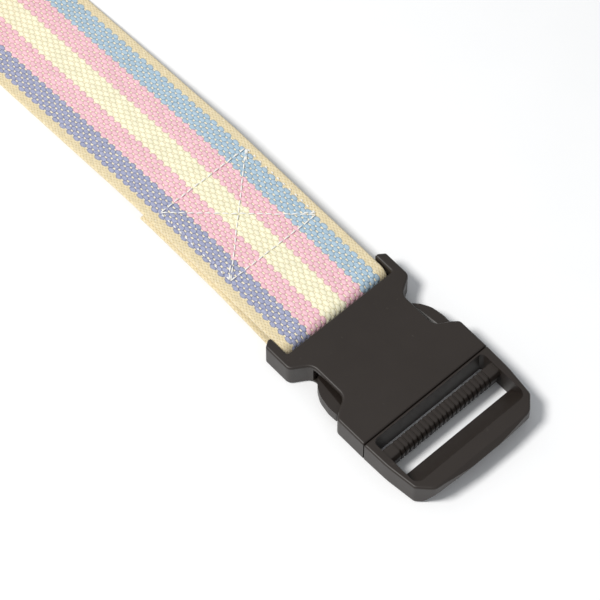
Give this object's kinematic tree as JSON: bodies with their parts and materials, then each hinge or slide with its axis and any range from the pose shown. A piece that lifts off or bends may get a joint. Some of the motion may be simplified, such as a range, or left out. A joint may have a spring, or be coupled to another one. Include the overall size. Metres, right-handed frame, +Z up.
{
  "type": "luggage strap",
  "caption": "Striped woven webbing luggage strap, rolled for storage, sewn round the bar of a wide side-release buckle with an adjuster frame.",
  "frame": {"origin": "on the flat underside of the buckle's socket, on the strap's centre line, midway along the socket's waist", "axes": "+X along the strap from the roll towards the plug's end bar, +Y across the strap, +Z up from the surface it lies on"},
  "size_m": [0.3406, 0.06, 0.064],
  "materials": {
    "webbing": "coarse woven, pastel stripes",
    "thread": "matt sewing thread",
    "buckle_plastic": "satin moulded acetal, fine texture"
  },
  "bodies": {
    "strap": {"webbing_main": "webbing", "webbing_loop": "webbing", "webbing_fold": "webbing", "webbing_roll": "webbing", "box_stitching": "thread"},
    "socket": {"socket_shell": "buckle_plastic", "socket_webbing_bar": "buckle_plastic"},
    "plug": {"plug_frame": "buckle_plastic", "plug_grip_bar": "buckle_plastic", "plug_guide_tongue": "buckle_plastic"},
    "latch_left": {"latch_arm_left": "buckle_plastic"},
    "latch_right": {"latch_arm_right": "buckle_plastic"}
  },
  "joints": [
    {"name": "buckle_swing", "type": "hinge", "parent": "strap", "child": "socket", "pos_m": [-0.0255, 0, 0.0055], "axis": [0, -1, 0], "range_deg": [0, 75]},
    {"name": "plug_slide", "type": "slide", "parent": "socket", "child": "plug", "axis": [1, 0, 0], "range_m": [0, 0.045]},
    {"name": "latch_left_squeeze", "type": "hinge", "parent": "plug", "child": "latch_left", "pos_m": [0.022, 0.0225, 0.0056], "axis": [0, 0, 1], "range_deg": [0, 10], "stiffness_Nm_per_rad": 0.5},
    {"name": "latch_right_squeeze", "type": "hinge", "parent": "plug", "child": "latch_right", "pos_m": [0.022, -0.0225, 0.0056], "axis": [0, 0, -1], "range_deg": [0, 10], "stiffness_Nm_per_rad": 0.5}
  ]
}
